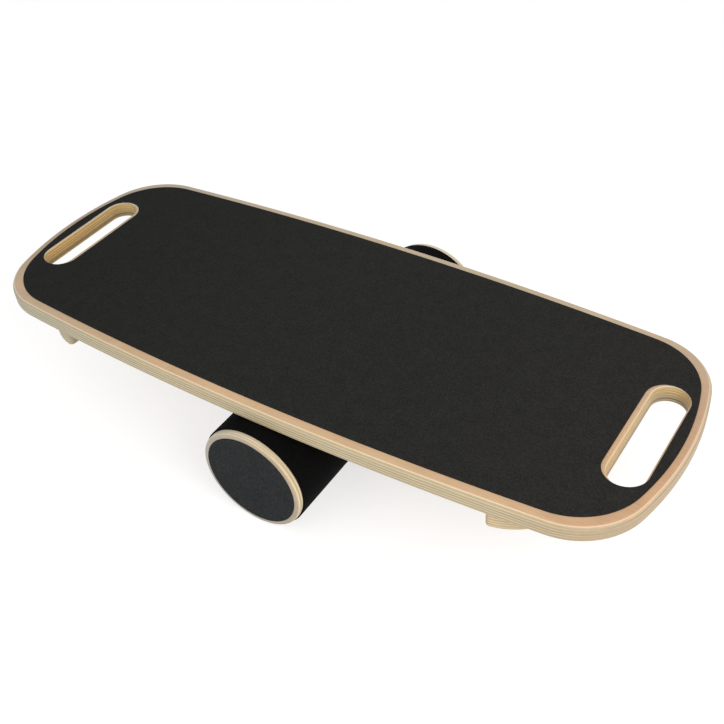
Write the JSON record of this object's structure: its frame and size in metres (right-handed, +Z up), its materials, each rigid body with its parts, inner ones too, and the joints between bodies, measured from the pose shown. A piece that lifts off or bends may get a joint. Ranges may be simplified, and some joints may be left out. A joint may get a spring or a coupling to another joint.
{
  "type": "rola bola",
  "caption": "Plywood balance board with hand slots, an anti-slip top and stoppers underneath, standing on a loose covered roller that rolls along its underside.",
  "frame": {"origin": "on the floor, below the middle of the deck's length and of the roller's length", "axes": "+Z up; X along the deck, from its left end in the picture to its right end; Y across the deck, away from the picture's viewer"},
  "size_m": [0.74, 0.3502, 0.1341],
  "materials": {
    "deck_plywood": "clear-lacquered plywood with visible plies",
    "stopper_plywood": "sanded plywood",
    "grip_sheet": "matt, fine-grained anti-slip sheet",
    "grip_sleeve": "matt anti-slip cover",
    "disc_plywood": "clear-lacquered plywood with a rounded rim",
    "disc_facing": "matt, fine-grained facing",
    "inner_plywood": "raw plywood",
    "tube_board": "raw tube wall",
    "zinc_steel": "zinc-plated steel"
  },
  "bodies": {
    "board": {"deck": "deck_plywood", "grip_sheet": "grip_sheet", "right_stopper": "stopper_plywood", "right_stopper_screw_front": "zinc_steel", "right_stopper_screw_middle": "zinc_steel", "right_stopper_screw_back": "zinc_steel", "left_stopper": "stopper_plywood", "left_stopper_screw_front": "zinc_steel", "left_stopper_screw_middle": "zinc_steel", "left_stopper_screw_back": "zinc_steel"},
    "roller_core": {"roller_tube": "tube_board"},
    "roller": {"roller_sleeve": "grip_sleeve", "front_plug_disc": "inner_plywood", "front_end_disc": "disc_plywood", "front_end_facing": "disc_facing", "back_plug_disc": "inner_plywood", "back_end_disc": "disc_plywood", "back_end_facing": "disc_facing"}
  },
  "joints": [
    {"name": "roller_travel", "type": "slide", "parent": "board", "child": "roller_core", "axis": [1, 0, 0], "range_m": [-0.2131, 0.1891]},
    {"name": "roller_spin", "type": "hinge", "parent": "roller_core", "child": "roller", "pos_m": [0.012, 0, 0.0575], "axis": [0, 1, 0], "range_deg": [-188.5, 212.4]}
  ],
  "couplings": [
    {"joint": "roller_spin", "follows": "roller_travel", "rad_per_m": -17.391}
  ]
}
